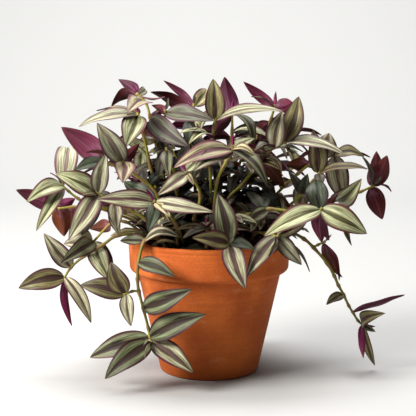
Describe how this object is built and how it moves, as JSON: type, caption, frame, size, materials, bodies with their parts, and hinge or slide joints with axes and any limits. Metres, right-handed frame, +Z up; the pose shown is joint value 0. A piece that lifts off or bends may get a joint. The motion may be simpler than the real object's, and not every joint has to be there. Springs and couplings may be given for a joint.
{
  "type": "potted tradescantia",
  "caption": "Bushy tradescantia in a round terracotta pot: leafy stems stand in soil, arch over the rim and trail down; the pot rests on its flat foot.",
  "frame": {"origin": "centre of the pot's foot on its underside, which is the centre of the whole outline seen from above", "axes": "+Z up, the pot's axis and the way the plant grows; -Y towards the side that the plant was read from; +X to the right as seen from there, along the plant's widest spread"},
  "size_m": [0.3592, 0.2107, 0.2727],
  "materials": {
    "terracotta": "matte unglazed",
    "soil": "matte crumbly",
    "leaf": "soft satin"
  },
  "bodies": {
    "root": {"pot": "terracotta", "soil": "soil", "stem_centre": "leaf", "stem_centre_left": "leaf", "stem_centre_mid": "leaf", "stem_far_high_1": "leaf", "stem_far_high_2": "leaf", "stem_far_high_3": "leaf", "stem_far_high_4": "leaf", "stem_far_low_1": "leaf", "stem_far_low_2": "leaf", "stem_far_low_3": "leaf", "stem_far_low_4": "leaf", "stem_far_low_5": "leaf", "stem_far_mid_1": "leaf", "stem_far_mid_2": "leaf", "stem_far_mid_3": "leaf", "stem_far_mid_4": "leaf", "stem_far_mid_5": "leaf", "stem_inner_1": "leaf", "stem_inner_2": "leaf", "stem_inner_3": "leaf", "stem_inner_4": "leaf", "stem_inner_5": "leaf", "stem_inner_6": "leaf", "stem_inner_far_left": "leaf", "stem_inner_left": "leaf", "stem_inner_top": "leaf", "stem_left_back": "leaf", "stem_left_far": "leaf", "stem_left_front": "leaf", "stem_left_low": "leaf", "stem_left_low_tip": "leaf", "stem_left_mid": "leaf", "stem_left_purple": "leaf", "stem_left_upper": "leaf", "stem_right_back": "leaf", "stem_right_front": "leaf", "stem_right_mid": "leaf", "stem_right_tip": "leaf", "stem_right_top_far": "leaf", "stem_right_upper": "leaf", "stem_rim_front": "leaf", "stem_rim_right": "leaf", "stem_top_centre": "leaf", "stem_top_left": "leaf", "stem_top_maroon": "leaf", "stem_top_purple": "leaf", "stem_top_silver": "leaf", "stem_trail_far_left": "leaf", "stem_trail_far_right": "leaf", "stem_trail_left": "leaf", "stem_trail_right": "leaf"}
  },
  "joints": []
}
